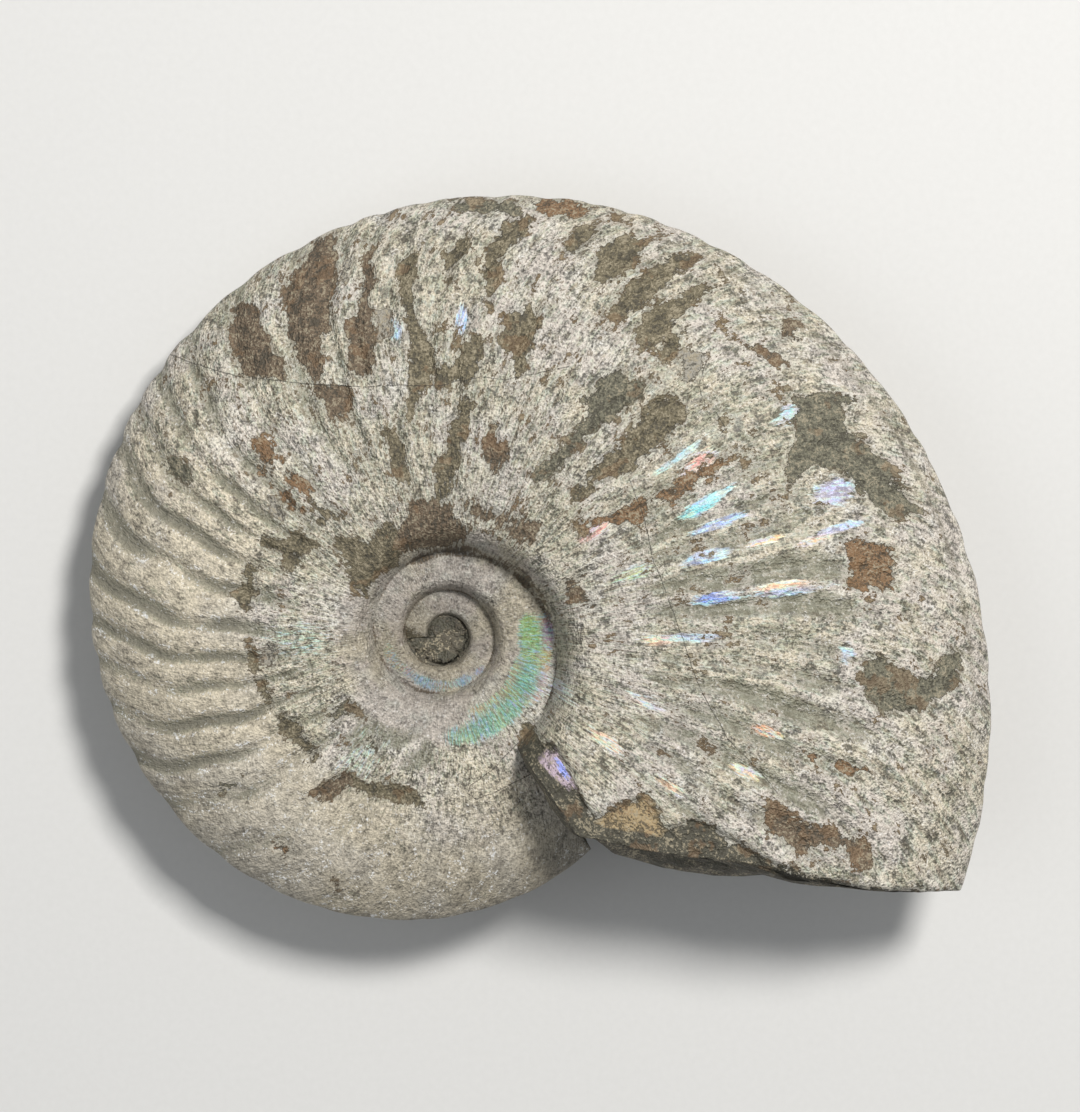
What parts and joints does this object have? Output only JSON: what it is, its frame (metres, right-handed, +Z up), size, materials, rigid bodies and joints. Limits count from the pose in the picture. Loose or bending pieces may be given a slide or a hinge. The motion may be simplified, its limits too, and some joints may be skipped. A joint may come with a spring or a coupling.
{
  "type": "ammonite fossil",
  "caption": "Loose pearly ammonite fossil: a tight ribbed spiral shell with a stepped umbilicus, chipped to brown rock in places, broken off at its outer end.",
  "frame": {"origin": "below the middle of the bounding box, on the surface that the fossil lies on", "axes": "+Z up out of the upper flank, +X along the longest extent towards the outer end of the last turn, +Y across"},
  "size_m": [0.1395, 0.1121, 0.0365],
  "materials": {
    "pearly_shell": "satin"
  },
  "bodies": {
    "root": {"ammonite": "pearly_shell"}
  },
  "joints": []
}
